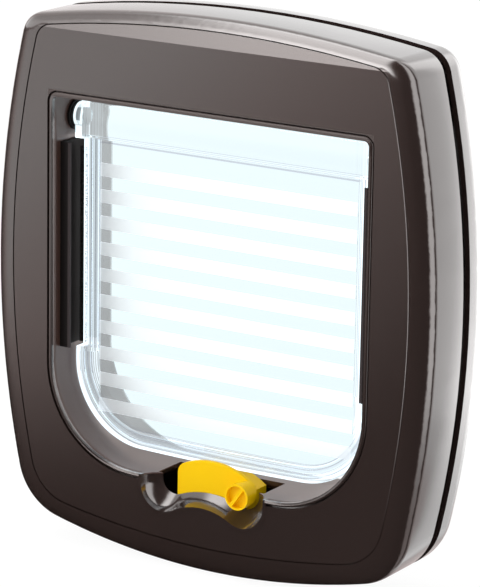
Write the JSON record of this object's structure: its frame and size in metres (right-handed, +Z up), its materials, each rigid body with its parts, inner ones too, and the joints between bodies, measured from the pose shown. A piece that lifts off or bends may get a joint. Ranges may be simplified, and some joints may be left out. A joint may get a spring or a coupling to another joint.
{
  "type": "cat flap",
  "caption": "Two-part frame for a door with a clear swinging flap hinged at its top corners, a rotary lock lever in a finger scoop and draught strips.",
  "frame": {"origin": "middle of the frame's outline, on the door face that the front frame's rim bears on", "axes": "+Z up, +X right as seen from the room, +Y through the door away from the room"},
  "size_m": [0.2282, 0.0525, 0.2521],
  "materials": {
    "brown_plastic": "glossy",
    "clear_plastic": "clear with frosted bands",
    "yellow_plastic": "satin",
    "dark_plastic": "satin",
    "pile": "matt pile",
    "steel": "zinc plated"
  },
  "bodies": {
    "frame": {"front_frame": "brown_plastic", "front_cover_plate": "brown_plastic", "rear_frame": "brown_plastic", "hinge_bush_left": "dark_plastic", "hinge_bush_right": "dark_plastic", "draught_strip_left": "dark_plastic", "draught_strip_right": "dark_plastic", "brush_pile_left": "pile", "brush_pile_right": "pile", "lever_washer": "steel", "lever_screw": "steel", "clamp_screw_1": "steel", "clamp_screw_2": "steel", "clamp_screw_3": "steel", "clamp_screw_4": "steel"},
    "swinging_flap": {"flap": "clear_plastic"},
    "lever": {"lock_lever": "yellow_plastic"}
  },
  "joints": [
    {"name": "flap_swing", "type": "hinge", "parent": "frame", "child": "swinging_flap", "pos_m": [0, -0.0094, 0.0715], "axis": [1, 0, 0], "range_deg": [0, 85]},
    {"name": "lever_turn", "type": "hinge", "parent": "frame", "child": "lever", "pos_m": [0, -0.012, -0.1125], "axis": [0, -1, 0], "range_deg": [0, 65]}
  ]
}
